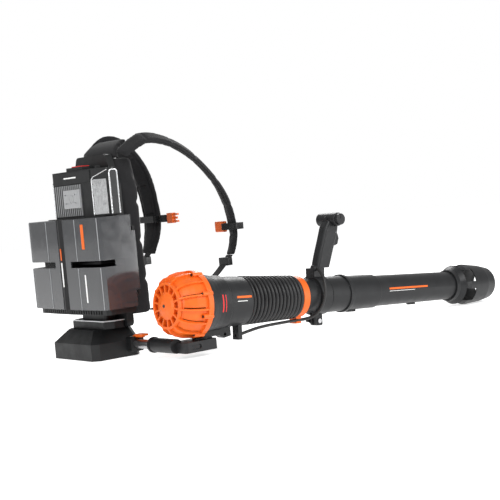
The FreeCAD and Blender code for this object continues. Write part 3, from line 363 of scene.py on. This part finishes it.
def make_materials():
    return {
        "housing": plastic("housing_plastic", DARK, 0.40),
        "pack": plastic("pack_plastic", BLACK, 0.45),
        "gloss": plastic("gloss_black_plastic", BLACK, 0.20, depth=0.00004),
        "pipe": plastic("pipe_plastic", DARK, 0.38, depth=0.00009),
        "spine": plastic("textured_spine", SOFT_BLACK, 0.55, grain=420.0, depth=0.0007),
        "battery": plastic("battery_plastic", SOFT_BLACK, 0.5),
        "orange": plastic("orange_plastic", ORANGE, 0.34, mottle=0.07, rub_and_highlight=0.25, depth=0.00006),
        "silver": plastic("bright_trim", SILVER, 0.22, mottle=0.05, depth=0.00003, rub_and_highlight=0.1),
        # painted reflection: chrome put where the clear covers' bevels only show a reflection of the softbox
        "reflection_stand_in": metal("chrome_reflection_stand_in", (0.80, 0.81, 0.82), 0.16, (30, 30, 4)),
        "smoked": smoked("smoked_cover", (0.042, 0.044, 0.048), 0.82),
        "fins": finned("heat_sink_fins", (0.62, 0.63, 0.64), -0.0736, -0.0670),
        # painted highlight: a lighter plastic for rods that paint the covers' edge highlights
        "edge_highlight": plastic("painted_edge_highlight", (0.30, 0.31, 0.32), 0.18, mottle=0.08, depth=0.00003, rub_and_highlight=0.1),
        "steel": metal("brushed_tube", (0.52, 0.52, 0.53), 0.30),
        "screws": metal("dark_screws", (0.10, 0.10, 0.10), 0.35, (60, 60, 60)),
        "alloy": metal("machined_alloy", (0.66, 0.67, 0.68), 0.34, (60, 60, 6)),
        "copper": metal("contact_copper", (0.72, 0.45, 0.22), 0.3),
        "board": plastic("board_laminate", (0.02, 0.13, 0.05), 0.35),
        "rubber": rubber("soft_rubber", (0.008, 0.008, 0.009)),
        "bellows": rubber("bellows_rubber", (0.0085, 0.0085, 0.009), 0.40),
        "cable": rubber("cable_sheath", (0.008, 0.008, 0.008), 0.45),
        "mesh": mesh_fabric("pad_mesh", FABRIC_BLACK),
        "webbing": woven("strap_webbing", FABRIC_BLACK),
        "white_print": plastic("white_print", WHITE, 0.45, rub_and_highlight=0.0, mottle=0.04),
        "orange_print": plastic("orange_print", ORANGE, 0.45, rub_and_highlight=0.0, mottle=0.05),
        "red_print": plastic("red_print", RED, 0.45, rub_and_highlight=0.0, mottle=0.1),
    }


make_camera()
make_stage()
M = make_materials()

NODE_MATERIALS = {
    "pack": "foot_shell foot_floor frame_tray back_frame tube_socket camp_body camp_grille controller_case",
    "housing": "arm_casing housing_bracket motor_housing stator_vanes fan_rotor handle_clamp handle_grip "
               "trigger_switch wing_knob speed_dial throttle_trigger boost_button",
    "pipe": "rear_pipe front_pipe nozzle",
    "spine": "camp_spine",
    "gloss": "side_panels ladder_locks",
    "battery": "batteries_left batteries_right",
    "orange": "intake_cage bellows_clamp release_lever chest_buckle",
    "red_print": "power_button",
    "silver": "tray_trim",
    # painted reflection: chrome on the corner windows stands in for the reflection on the clear covers' bevels
    "reflection_stand_in": "corner_windows",
    "smoked": "cover_left cover_right",
    "steel": "steel_tube hinge_pins rotor_shaft motor_stator motor_bearings handle_pins",
    "screws": "cage_screws bellows_hoop",
    "fins": "heat_sink",
    "alloy": "heat_sink_plate",
    "copper": "battery_contacts",
    "board": "control_board",
    "rubber": "foot_pads",
}
for key, names in NODE_MATERIALS.items():
    for node_name in names.split():
        cad_object = NODES[node_name]
        cad_object.data.materials.clear()
        cad_object.data.materials.append(M[key])


# ---------------------------------------------------------------- mesh helpers
def piece(name, points, faces, material, body, replaces=(), matrix=None, sharp=40.0, scale=MM):
    """A new mesh piece, smooth except at edges sharper than `sharp` degrees."""
    mesh = bpy.data.meshes.new(name)
    moved = [Vector(point) * scale for point in points]
    if matrix is not None:
        moved = [matrix @ point for point in moved]
    mesh.from_pydata(moved, [], faces)
    mesh.validate()
    build = bmesh.new()
    build.from_mesh(mesh)
    bmesh.ops.recalc_face_normals(build, faces=build.faces)
    build.to_mesh(mesh)
    build.free()
    mesh.shade_smooth()
    mesh.set_sharp_from_angle(angle=math.radians(sharp))
    mesh.materials.append(M[material])
    made = bpy.data.objects.new(name, mesh)
    bpy.context.collection.objects.link(made)
    if body:
        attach(made, body)
    if replaces:
        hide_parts(*replaces)
    return made


def loft(rings, closed_ends=True):
    """Points and faces of a skin over rings that all have the same number of points."""
    count = len(rings[0])
    points = [point for ring in rings for point in ring]
    faces = []
    for row in range(len(rings) - 1):
        for k in range(count):
            following = (k + 1) % count
            faces.append((row * count + k, row * count + following,
                          (row + 1) * count + following, (row + 1) * count + k))
    if closed_ends:
        faces.append(tuple(range(count))[::-1])
        faces.append(tuple((len(rings) - 1) * count + k for k in range(count)))
    return points, faces


def revolved(outline, segments=96):
    """Points and faces of a closed outline of (radius, along) turned about the Y axis."""
    rings = []
    for k in range(segments):
        angle = 2 * math.pi * k / segments
        rings.append([(r * math.sin(angle), y, r * math.cos(angle)) for r, y in outline])
    rings.append(rings[0])
    count = len(outline)
    points = [point for ring in rings[:-1] for point in ring]
    faces = []
    for row in range(segments):
        following_row = (row + 1) % segments
        for k in range(count):
            following = (k + 1) % count
            faces.append((row * count + k, row * count + following,
                          following_row * count + following, following_row * count + k))
    return points, faces


def smooth_route(points, steps=8):
    """Points on an even curve through a NURBS spline with these control points (millimetres)."""
    curve = bpy.data.curves.new("route", "CURVE")
    curve.dimensions = "3D"
    spline = curve.splines.new("NURBS")
    spline.points.add(len(points) - 1)
    for target, point in zip(spline.points, points):
        target.co = (*point, 1)
    spline.order_u = 3
    spline.use_endpoint_u = True
    spline.resolution_u = steps
    holder = bpy.data.objects.new("route", curve)
    bpy.context.collection.objects.link(holder)
    bpy.context.view_layer.update()
    mesh = bpy.data.meshes.new_from_object(holder)
    route = [vertex.co.copy() for vertex in mesh.vertices]
    bpy.data.objects.remove(holder)
    bpy.data.curves.remove(curve)
    bpy.data.meshes.remove(mesh)
    return route


def round_tube(route, radius, sides=20):
    """A tube along a route, without twist."""
    rings = []
    across = None
    for k, centre in enumerate(route):
        ahead = (route[min(k + 1, len(route) - 1)] - route[max(k - 1, 0)]).normalized()
        if across is None:
            across = ahead.orthogonal().normalized()
        across = (across - ahead * across.dot(ahead)).normalized()
        other = ahead.cross(across)
        rings.append([tuple(centre + (across * math.cos(a) + other * math.sin(a)) * radius)
                      for a in (2 * math.pi * s / sides for s in range(sides))])
    return loft(rings)


# ---------------------------------------------------------------- bellows and cable
BELLOWS_START = 198.3
BELLOWS_MIDDLE = 285.0
BELLOWS_END = 371.0
BELLOWS_CREST_REAR = 63.0
BELLOWS_CREST_FRONT = 57.0
BELLOWS_ROOT = 50.2
BELLOWS_RIDGES = 7


def bellows_outline(start, end):
    """Rounded ridges with tight valleys, and an inner wall that follows them."""
    outer = []
    samples = 10
    for k in range(BELLOWS_RIDGES * samples + 1):
        phase = k / samples
        swell = abs(math.sin(math.pi * phase)) ** 0.55
        along = start + (end - start) * k / (BELLOWS_RIDGES * samples)
        share = (along - BELLOWS_START) / (BELLOWS_END - BELLOWS_START)
        crest = BELLOWS_CREST_REAR + (BELLOWS_CREST_FRONT - BELLOWS_CREST_REAR) * share
        outer.append((BELLOWS_ROOT + (crest - BELLOWS_ROOT) * swell, along))
    return outer + [(radius - 2.0, along) for radius, along in outer[::-1]]


def make_bellows():
    halves = (
        ("bellows_rear", BELLOWS_START, BELLOWS_MIDDLE, ("blower", "bellows_mid")),
        ("bellows_front", BELLOWS_MIDDLE, BELLOWS_END, ("bellows_mid", "pipe")),
    )
    for name, start, end, bodies in halves:
        points, faces = revolved(bellows_outline(start, end))
        skin = piece(name + "_skin", points, faces, "bellows", None, (name,), BLOWER, 75)
        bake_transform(skin)


CABLE_REAR = [(10, 180, -86), (12, 222, -76), (15, 256, -69), (15.5, 288.9, -66.2)]
CABLE_FRONT = [(15.5, 289.0, -66.2), (16, 325, -63.5), (10, 382, -61), (14, 404, -60), (36, 420, -52),
               (56, 430, -28), (59.4, 432.9, -10.4)]
CABLE_HANDLE = [(59.4, 432.9, -10.4), (63, 436, 8), (54, 442, 42), (34, 444, 64), (17, 448, 74)]


def make_cable():
    """One flexible cable in three lengths, each a round tube along a smooth route laid on the blower's axis."""
    lengths = [("control_cable_rear", CABLE_REAR, ("blower", "bellows_mid"), 225, 289),
               ("control_cable_front", CABLE_FRONT, ("bellows_mid", "pipe"), 289, 371)]
    for name, route, bodies, start, end in lengths:
        points, faces = round_tube(smooth_route(route), 4.0)
        tube = piece(name + "_sheath", points, faces, "cable", None, (name,), BLOWER, 60)
        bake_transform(tube)
    points, faces = round_tube(smooth_route(CABLE_HANDLE), 4.0)
    tube = piece("control_cable_handle_sheath", points, faces, "cable", None,
                 ("control_cable_handle",), BLOWER, 60)
    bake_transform(tube)


# ---------------------------------------------------------------- soft harness
STRAP_X = 92.0
STRAP_RIGHT = [(27, 515), (78, 550), (120, 556), (175, 544), (232, 515), (284, 470), (328, 418), (356, 362),
               (368, 306), (366, 262), (346, 222), (308, 182), (248, 146), (178, 122), (112, 112), (76, 108)]
STRAP_LEFT = [(27, 515), (66, 548), (104, 556), (142, 540), (174, 508), (200, 470), (216, 426), (224, 380),
              (228, 334), (220, 288), (202, 244), (174, 204), (140, 168), (108, 138), (86, 120), (76, 108)]
PAD_SIZES = {"right": (26.5, 5.8), "left": (31.5, 9.2)}
PAD_POINTS = 11
STRAP_BANK = (26.0, 34.0, 36.0, 35.0, 33.0, 29.0, 24.0, 20.0, 16.0, 11.0, 6.0)
CHEST_LEFT = (228.0, 338.0)
CHEST_RIGHT = (366.0, 300.0)


def voxel_copy(made, size):
    bpy.context.view_layer.objects.active = made
    modifier = made.modifiers.new("remesh", "REMESH")
    modifier.mode = "VOXEL"
    modifier.voxel_size = size
    apply_modifiers(made)


def apply_modifiers(made):
    graph = bpy.context.evaluated_depsgraph_get()
    mesh = bpy.data.meshes.new_from_object(made.evaluated_get(graph))
    old = made.data
    made.modifiers.clear()
    made.data = mesh
    bpy.data.meshes.remove(old)


def puff(made, limit, pressure=4.0, frames=20):
    """Blow a pad up a little with a cloth simulation, and keep every point within `limit` metres."""
    rest = [vertex.co.copy() for vertex in made.data.vertices]
    cloth = made.modifiers.new("cloth", "CLOTH")
    cloth.settings.use_pressure = True
    cloth.settings.uniform_pressure_force = pressure
    cloth.settings.effector_weights.gravity = 0.0
    cloth.settings.quality = 5
    cloth.point_cache.frame_start = 1
    cloth.point_cache.frame_end = frames
    scene = bpy.context.scene
    for number in range(1, frames + 1):
        scene.frame_set(number)
    apply_modifiers(made)
    scene.frame_set(1)
    for vertex, start in zip(made.data.vertices, rest):
        step = vertex.co - start
        if step.length > limit:
            vertex.co = start + step * (limit / step.length)


def subdivided(made, levels=1):
    modifier = made.modifiers.new("smooth", "SUBSURF")
    modifier.levels = levels
    modifier.render_levels = levels
    apply_modifiers(made)


def band_frame(along, side=1, bank=0.0):
    """Directions across a strap and out of it; `bank` turns its outer edge down, in degrees."""
    outward = Vector((0, -along.z, along.y))
    turn = math.radians(bank)
    wide = Vector((side * math.cos(turn), 0, 0)) - outward * math.sin(turn)
    deep = outward * math.cos(turn) + Vector((side * math.sin(turn), 0, 0))
    return wide, deep


def band_ring(centre, along, half_width, half_depth, x, sides=28, power=3.2, side=1, bank=0.0):
    """A rounded-box section of a strap, across X and across its run in the YZ plane."""
    wide, deep = band_frame(along, side, bank)
    ring = []
    for s in range(sides):
        angle = 2 * math.pi * s / sides
        c, d = math.cos(angle), math.sin(angle)
        u = math.copysign(abs(c) ** (2 / power), c) * half_width
        v = math.copysign(abs(d) ** (2 / power), d) * half_depth
        ring.append(tuple(Vector((x, centre.y, centre.z)) + wide * u + deep * v))
    return ring


def strap_route(points):
    return smooth_route([(0, y, z) for y, z in points], 10)


def make_strap_pad(side_name, side, points):
    route = strap_route(points[:PAD_POINTS])
    half_width, half_depth = PAD_SIZES[side_name]
    rings = []
    frames = []
    last = len(route) - 1
    for k, centre in enumerate(route):
        along = (route[min(k + 1, last)] - route[max(k - 1, 0)]).normalized()
        taper = min(1.0, 0.6 + 2.4 * min(k, last - k) / last)
        step = k / last * (len(STRAP_BANK) - 1)
        low = min(int(step), len(STRAP_BANK) - 2)
        bank = STRAP_BANK[low] + (STRAP_BANK[low + 1] - STRAP_BANK[low]) * (step - low)
        frames.append(band_frame(along, side, bank))
        rings.append(band_ring(centre, along, half_width * min(1.0, taper + 0.25), half_depth * taper,
                               side * STRAP_X, side=side, bank=bank))
    points_, faces = loft(rings)
    pad = piece(f"strap_pad_{side_name}_cushion", points_, faces, "mesh", "pack",
                (f"strap_pad_{side_name}",), sharp=80)
    voxel_copy(pad, 0.0045)
    puff(pad, 0.0035)
    sew_strap(pad, route, side, frames)
    subdivided(pad)
    finish_soft(pad, "mesh")


def sew_strap(pad, route, side, frames):
    """Two lines of stitching along the pad and cross seams, pressed into both faces."""
    metres = [centre * MM for centre in route]
    runs = [0.0]
    for first, second in zip(metres, metres[1:]):
        runs.append(runs[-1] + (second - first).length)
    for vertex in pad.data.vertices:
        near = min(range(len(metres)), key=lambda k: (vertex.co.y - metres[k].y) ** 2
                   + (vertex.co.z - metres[k].z) ** 2)
        wide, deep = frames[near]
        offset = vertex.co - metres[near] - Vector((side * STRAP_X * MM, 0, 0))
        across = abs(offset.dot(wide))
        seam = math.exp(-((across - 0.0195) / 0.0022) ** 2)
        spacing = 0.085
        phase = (runs[near] / spacing) % 1.0
        cross = math.exp(-((min(phase, 1 - phase) * spacing) / 0.0028) ** 2) if across < 0.0195 else 0.0
        vertex.co = vertex.co - deep * (offset.dot(deep) * 0.5 * max(seam, cross * 0.8))


def finish_soft(made, material):
    made.data.materials.clear()
    made.data.materials.append(M[material])
    made.data.shade_smooth()


def make_back_pad():
    """One contoured back cushion, deeper at its sides and sewn into blocks, with a yoke over the top."""
    half = 106.0
    outline = [(-half, 99), (half, 99), (half + 5, 180), (half - 1, 428), (75, 512), (-75, 512),
               (-half + 1, 428), (-half - 5, 180)]
    middle = Vector((0, 0, 300))
    layers = ((13.5, 0.965), (16.5, 1.0), (62.0, 1.0), (69.0, 0.95))
    rings = []
    for y, size in layers:
        ring = []
        for (x0, z0), (x1, z1) in zip(outline, outline[1:] + outline[:1]):
            for step in range(6):
                t = step / 6
                x = x0 + (x1 - x0) * t
                z = z0 + (z1 - z0) * t
                ring.append((x * size, y, middle.z + (z - middle.z) * size))
        rings.append(ring)
    points, faces = loft(rings)
    pad = piece("back_pad_cushion", points, faces, "mesh", "pack", ("back_pad",), sharp=80)
    voxel_copy(pad, 0.006)
    puff(pad, 0.005)
    for vertex in pad.data.vertices:
        x, y, z = vertex.co
        if y > 0.03:
            channel = math.exp(-(x / 0.017) ** 2) * 0.014
            blocks = sum(math.exp(-((z - level) / 0.005) ** 2) for level in (0.19, 0.29, 0.39)) * 0.007
            edge = math.exp(-((abs(x) - 0.086) / 0.0035) ** 2) * 0.004
            lumbar = 0.006 * (1 - math.cos(2 * math.pi * (z - 0.10) / 0.41)) / 2
            vertex.co.y -= max(channel, min(blocks, 0.007)) + edge + lumbar - 0.001
        else:
            vertex.co.y = max(vertex.co.y, 0.0126)
    subdivided(pad)
    finish_soft(pad, "mesh")
    yoke_route = smooth_route([(0, 22, 506), (0, 26, 528), (0, 44, 544), (0, 66, 552)], 8)
    rings = []
    for k, centre in enumerate(yoke_route):
        along = (yoke_route[min(k + 1, len(yoke_route) - 1)] - yoke_route[max(k - 1, 0)]).normalized()
        rings.append(band_ring(centre, along, 84.0 - 16.0 * k / len(yoke_route), 5.4, 0.0, 64, 5.0))
    points, faces = loft(rings)
    yoke = piece("shoulder_yoke", points, faces, "mesh", "pack", sharp=80)
    voxel_copy(yoke, 0.0045)
    puff(yoke, 0.003)
    subdivided(yoke)
    finish_soft(yoke, "mesh")


def ribbon(name, route, half_width, x, material, body, replaces=(), thick=1.5):
    """A flat woven strap with its own length and width as UV."""
    rings = []
    last = len(route) - 1
    for k, centre in enumerate(route):
        along = (route[min(k + 1, last)] - route[max(k - 1, 0)]).normalized()
        rings.append(band_ring(centre, along, half_width, thick, x, 16, 6.0))
    points, faces = loft(rings)
    strap = piece(name, points, faces, material, body, replaces, sharp=50)
    layer = strap.data.uv_layers.new(name="UVMap")
    runs = [0.0]
    for first, second in zip(route, route[1:]):
        runs.append(runs[-1] + (second - first).length * MM)
    for loop in strap.data.loops:
        row = min(loop.vertex_index // 16, last)
        layer.data[loop.index].uv = (strap.data.vertices[loop.vertex_index].co.x, runs[row])
    return strap


def make_straps():
    for side_name, side, points in (("right", 1, STRAP_RIGHT), ("left", -1, STRAP_LEFT)):
        make_strap_pad(side_name, side, points)
        route = strap_route(points[PAD_POINTS - 1:])
        ribbon(f"strap_webbing_{side_name}_band", route, 14.0, side * STRAP_X, "webbing", "pack",
               (f"strap_webbing_{side_name}",))
    chest_band("left", -STRAP_X + 33, -10.0, CHEST_LEFT)
    chest_band("right", 54.0, STRAP_X - 28, CHEST_RIGHT)


def chest_band(side_name, x0, x1, place):
    """The webbing across the chest, thicker where it is folded and sewn near the shoulder strap."""
    y, z = place
    rings = []
    steps = 24
    for k in range(steps + 1):
        x = x0 + (x1 - x0) * k / steps
        fold = 2.4 if 0.12 < k / steps < 0.72 and side_name == "left" else 1.4
        ripple = 0.25 * math.sin(k * 2.1)
        rings.append([(x, y + v * fold + ripple, z + u * 10.0) for u, v in
                      ((-1, 0.6), (-0.94, 1), (0, 1), (0.94, 1), (1, 0.6), (1, -0.6), (0.94, -1), (0, -1),
                       (-0.94, -1), (-1, -0.6))])
    points, faces = loft(rings)
    band = piece(f"chest_webbing_{side_name}", points, faces, "webbing", "pack", sharp=60)
    layer = band.data.uv_layers.new(name="UVMap")
    for loop in band.data.loops:
        place_on = band.data.vertices[loop.vertex_index].co
        layer.data[loop.index].uv = (place_on.z, place_on.x)


# ---------------------------------------------------------------- generic marks, painted edge highlights and chrome reflection stand-ins
def pipe_radius(along):
    return 42.6 + (40.0 - 42.6) * (along - 666.0) / (984.0 - 666.0)


def neck_radius(along):
    outline = [(78.0, 60.0), (76.5, 70), (72.5, 82), (69.5, 94), (68.0, 108), (67.5, 128.0), (64.5, 131.0),
               (63.4, 150), (62.6, 180), (61.6, 198.0)]
    for (radius, at), (next_radius, next_at) in zip(outline, outline[1:]):
        if at <= along <= next_at:
            return radius + (next_radius - radius) * (along - at) / (next_at - at)
    return outline[-1][0]


def wrapped_bar(name, surface, along, angles, material, body, height=0.35):
    """A thin printed stripe on the blower's round skin, between two distances along it and two angles."""
    rings = []
    steps = 10
    for k in range(steps + 1):
        turn = math.radians(angles[0] + (angles[1] - angles[0]) * k / steps)
        ring = []
        for at, lift in ((along[0], -0.3), (along[1], -0.3), (along[1], height), (along[0], height)):
            radius = surface(at) + lift
            ring.append((radius * math.sin(turn), at, radius * math.cos(turn)))
        rings.append(ring)
    points, faces = loft(rings)
    return piece(name, points, faces, material, body, matrix=BLOWER, sharp=40)


def flat_bar(name, corner, across, up, out, material, body):
    """A thin printed bar with one corner at `corner` and three edge vectors, in millimetres."""
    base = [Vector(corner), Vector(corner) + Vector(across), Vector(corner) + Vector(across) + Vector(up),
            Vector(corner) + Vector(up)]
    points = [tuple(point) for point in base] + [tuple(point + Vector(out)) for point in base]
    faces = [(0, 1, 2, 3), (7, 6, 5, 4), (0, 4, 5, 1), (1, 5, 6, 2), (2, 6, 7, 3), (3, 7, 4, 0)]
    return piece(name, points, faces, material, body)


def make_blower_marks():
    """Plain stripes where the machine carries print: none has letters or a letter's proportions."""
    stripes = (
        ("housing_stripe_rear", neck_radius, (97.0, 101.0), (72.0, 108.0), "red", "blower"),
        ("housing_stripe_front", neck_radius, (107.0, 109.5), (72.0, 108.0), "red", "blower"),
        ("neck_stripe_orange", neck_radius, (146.0, 192.0), (76.0, 81.0), "orange", "blower"),
        ("neck_stripe_white", neck_radius, (146.0, 178.0), (87.0, 88.6), "white", "blower"),
        ("pipe_stripe_orange", pipe_radius, (690.0, 842.0), (79.0, 86.0), "orange", "pipe"),
        ("pipe_stripe_white", pipe_radius, (690.0, 790.0), (91.0, 92.8), "white", "pipe"),
    )
    for name, surface, along, angles, colour, body in stripes:
        wrapped_bar(name, surface, along, angles, colour + "_print", body)


def make_pack_marks():
    """Upright stripes on the spine and the right cover, and a level one on the controller's plate."""
    spine_x = -2.5
    spine_face = -122.9
    cover_x = 100.0
    cover_edge_x = 74.0
    cover_edge_face = -118.5
    cover_slope = 5.0 / 100.0
    cover_face = cover_edge_face + (cover_x - cover_edge_x) * cover_slope
    plate_face = -72.8
    stripes = (
        ("spine_stripe_white", (spine_x, spine_face, 190), (5, 0, 0), 62, 0.8, "white", "pack"),
        ("spine_stripe_orange", (spine_x, spine_face, 258), (5, 0, 0), 30, 0.8, "orange", "pack"),
        ("cover_stripe_orange", (cover_x, cover_face, 284), (12, 12 * cover_slope, 0), 62, 0.9, "orange",
         "cover_right"),
        ("cover_stripe_white", (cover_x, cover_face, 150), (5, 5 * cover_slope, 0), 70, 0.9, "white",
         "cover_right"),
        ("plate_stripe_white", (-36, plate_face, 465.0), (62, 0, 0), 3.5, 0.6, "white", "pack"),
    )
    for name, corner, across, height, depth, colour, body in stripes:
        flat_bar(name, corner, across, (0, 0, height), (0, depth, 0), colour + "_print",
                 body)


def make_trims():
    """Light rods along the covers' creases and corners that paint their edge highlights, and a chrome hoop and
    slanted edge round each side panel put where there is only a reflection on its bevel.
    """
    for name, side in (("right", 1), ("left", -1)):
        # painted highlight: light rods along each cover's crease and corner
        highlight_lines = [("crease", 74.0, -118.3), ("corner", 174.2, -113.3)]
        for label, x, y in highlight_lines:
            for part, low, high in (("low", 133.0, 237.0), ("high", 255.0, 359.0)):
                route = [Vector((side * x, y, low)), Vector((side * x, y, high))]
                points, faces = round_tube(route, 0.9, 12)
                piece(f"cover_{name}_{label}_{part}", points, faces, "edge_highlight", f"cover_{name}")
        # painted reflection: a chrome hoop stands in for the reflection round the side panel's bevel
        corners = [(-33.0, 366.5), (-33.0, 470.0), (-32.2, 474.0), (-29.5, 477.0), (-25.5, 478.0), (-17.0, 478.0),
                   (-13.0, 477.0), (-11.0, 474.0), (-10.2, 470.0), (-10.2, 366.5)]
        points, faces = round_tube([Vector((side * 124.6, y, z)) for y, z in corners], 2.2, 14)
        piece(f"side_reflection_hoop_{name}", points, faces, "reflection_stand_in", "pack")
        # painted reflection: a chrome rod stands in for the reflection along the slanted facet edge
        slant = [Vector((side * 98.6, -70.4, z)) for z in (366.5, 455.0)]
        slant += [Vector((side * 99.4, -67.0, 462.0)), Vector((side * 122.0, -37.0, 479.0))]
        points, faces = round_tube(slant, 1.4, 12)
        piece(f"facet_reflection_edge_{name}", points, faces, "reflection_stand_in", "pack")


make_bellows()
make_cable()
make_back_pad()
make_straps()
make_blower_marks()
make_pack_marks()
make_trims()

for node_name, cad_object in NODES.items():
    cad_object.data.shade_smooth()
    cad_object.data.set_sharp_from_angle(angle=math.radians(28))
